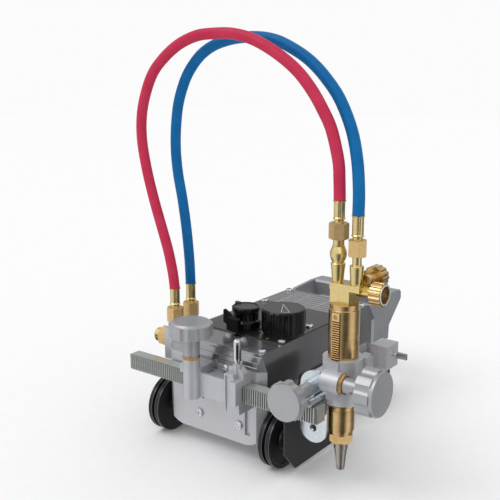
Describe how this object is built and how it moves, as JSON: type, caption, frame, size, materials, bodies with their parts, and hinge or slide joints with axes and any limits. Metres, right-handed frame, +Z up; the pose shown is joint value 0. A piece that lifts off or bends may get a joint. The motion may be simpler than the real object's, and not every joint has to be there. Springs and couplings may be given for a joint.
{
  "type": "oxy acetylene torch cart",
  "caption": "Motor driven gas cutting carriage on magnet wheels, with a toothed cross bar, a bevelling torch holder, a machine cutting torch and red and blue hoses.",
  "frame": {"origin": "point on the ground midway between the four wheels", "axes": "+X to the right along the cross bar towards the torch, +Y to the rear towards the carrying handle, +Z up"},
  "size_m": [0.3665, 0.411, 0.5045],
  "materials": {
    "satin_casting": "satin silver paint on cast aluminium",
    "grey_panel": "satin grey",
    "grey_handle": "satin grey",
    "chrome_screws": "bright plated",
    "bronze": "machined bronze",
    "motor_steel": "dark steel",
    "board": "glass fibre board",
    "black_plastic": "gloss black",
    "fuse_metal": "turned nickel",
    "shield_black": "matt black",
    "standoff_steel": "turned steel",
    "brass": "machined brass",
    "red_rubber": "smooth satin rubber",
    "blue_rubber": "smooth satin rubber",
    "axle_steel": "ground steel",
    "wheel_black": "blackened steel",
    "magnet": "dark magnet ring",
    "bar_steel": "pale zinc plating",
    "zinc_plate": "bright zinc plating",
    "knob_alloy": "satin silver paint on cast aluminium",
    "tip_steel": "bright nickel"
  },
  "bodies": {
    "chassis": {"chassis_tub": "satin_casting", "front_plate": "satin_casting", "rear_plate": "satin_casting", "top_cover": "satin_casting", "control_panel": "grey_panel", "cover_screws": "chrome_screws", "plate_screws": "chrome_screws", "carry_handle": "grey_handle", "axle_bearings": "bronze", "drive_motor": "motor_steel", "gearhead": "satin_casting", "motor_mount": "grey_handle", "circuit_board": "board", "panel_switches": "black_plastic", "fuse_caps": "fuse_metal", "bar_bracket": "satin_casting", "bar_bush": "bronze", "heat_shield": "shield_black", "shield_standoffs": "standoff_steel", "gas_manifold": "satin_casting", "manifold_fittings": "brass", "power_inlet": "black_plastic", "red_hose": "red_rubber", "blue_hose": "blue_rubber"},
    "front_axle_set": {"front_axle": "axle_steel", "axle_gear": "brass", "wheel_front_left": "wheel_black", "wheel_front_right": "wheel_black", "front_magnets": "magnet"},
    "rear_axle_set": {"rear_axle": "axle_steel", "wheel_rear_left": "wheel_black", "wheel_rear_right": "wheel_black", "rear_magnets": "magnet"},
    "motor_shaft": {"drive_pinion": "axle_steel"},
    "bar": {"cross_bar": "bar_steel", "swivel_plate": "zinc_plate", "bar_screws": "chrome_screws"},
    "bar_wheel": {"bar_pinion": "axle_steel", "bar_knob": "knob_alloy"},
    "bar_lock": {"bar_lock_screw": "chrome_screws"},
    "holder": {"torch_holder": "knob_alloy", "lift_bush": "bronze", "clamp_block": "knob_alloy"},
    "clamp": {"clamp_lever": "chrome_screws"},
    "torch": {"torch_barrel": "brass", "torch_rack": "brass", "nozzle_nut": "brass", "nozzle": "tip_steel", "valve_block": "brass", "inlet_pipes": "brass", "torch_fittings": "brass"},
    "fuel_knob": {"valve_knob_fuel": "brass"},
    "oxygen_knob": {"valve_knob_oxygen": "brass"},
    "lift_wheel": {"lift_pinion": "axle_steel", "lift_knob": "knob_alloy"},
    "tilt_lock": {"tilt_knob": "knob_alloy"},
    "dial": {"speed_dial": "black_plastic"},
    "selector": {"selector_knob": "black_plastic"},
    "toggle": {"toggle_lever": "black_plastic"}
  },
  "joints": [
    {"name": "front_axle_spin", "type": "hinge", "parent": "chassis", "child": "front_axle_set", "pos_m": [0, -0.112, 0.036], "axis": [1, 0, 0], "continuous": true},
    {"name": "rear_axle_spin", "type": "hinge", "parent": "chassis", "child": "rear_axle_set", "pos_m": [0, 0.112, 0.036], "axis": [1, 0, 0], "continuous": true},
    {"name": "motor_shaft_spin", "type": "hinge", "parent": "chassis", "child": "motor_shaft", "pos_m": [0.03, -0.112, 0.053], "axis": [1, 0, 0], "continuous": true},
    {"name": "bar_slide", "type": "slide", "parent": "chassis", "child": "bar", "axis": [1, 0, 0], "range_m": [-0.007, 0.085], "deforming": ["red_hose", "blue_hose"]},
    {"name": "bar_knob_turn", "type": "hinge", "parent": "chassis", "child": "bar_wheel", "pos_m": [-0.011, -0.1585, 0.15], "axis": [0, 0, 1], "range_deg": [-660, 60]},
    {"name": "bar_lock_turn", "type": "hinge", "parent": "chassis", "child": "bar_lock", "pos_m": [0.048, -0.14585, 0.14], "axis": [0, 0, 1], "range_deg": [-90, 90]},
    {"name": "torch_tilt", "type": "hinge", "parent": "bar", "child": "holder", "pos_m": [0.139, -0.12, 0.117], "axis": [0, -1, 0], "range_deg": [0, 45]},
    {"name": "tilt_lock_turn", "type": "hinge", "parent": "bar", "child": "tilt_lock", "pos_m": [0.139, -0.16, 0.117], "axis": [0, -1, 0], "range_deg": [-90, 90]},
    {"name": "torch_lift", "type": "slide", "parent": "holder", "child": "torch", "axis": [0, 0, 1], "range_m": [-0.014, 0.025]},
    {"name": "lift_knob_turn", "type": "hinge", "parent": "holder", "child": "lift_wheel", "pos_m": [0.2, -0.1322, 0.131], "axis": [1, 0, 0], "range_deg": [-100, 170]},
    {"name": "clamp_lever_turn", "type": "hinge", "parent": "holder", "child": "clamp", "pos_m": [0.21, -0.068, 0.152], "axis": [1, 0, 0], "range_deg": [-90, 90]},
    {"name": "speed_dial_turn", "type": "hinge", "parent": "chassis", "child": "dial", "pos_m": [0.044, -0.047, 0.155], "axis": [0, 0, 1], "range_deg": [-150, 150]},
    {"name": "selector_turn", "type": "hinge", "parent": "chassis", "child": "selector", "pos_m": [-0.007, -0.057, 0.155], "axis": [0, 0, 1], "range_deg": [-60, 60]},
    {"name": "toggle_tilt", "type": "hinge", "parent": "chassis", "child": "toggle", "pos_m": [0.003, -0.088, 0.135], "axis": [0, 1, 0], "range_deg": [-8, 16]},
    {"name": "oxygen_valve_turn", "type": "hinge", "parent": "torch", "child": "oxygen_knob", "pos_m": [0.2, -0.0955, 0.226], "axis": [1, 0, 0], "range_deg": [0, 540]},
    {"name": "fuel_valve_turn", "type": "hinge", "parent": "torch", "child": "fuel_knob", "pos_m": [0.184, -0.075, 0.238], "axis": [0, 1, 0], "range_deg": [0, 540]}
  ],
  "couplings": [
    {"joint": "motor_shaft_spin", "follows": "front_axle_spin", "ratio": -1.4286},
    {"joint": "bar_knob_turn", "follows": "bar_slide", "rad_per_m": -133.33},
    {"joint": "lift_knob_turn", "follows": "torch_lift", "rad_per_m": 113.64}
  ]
}
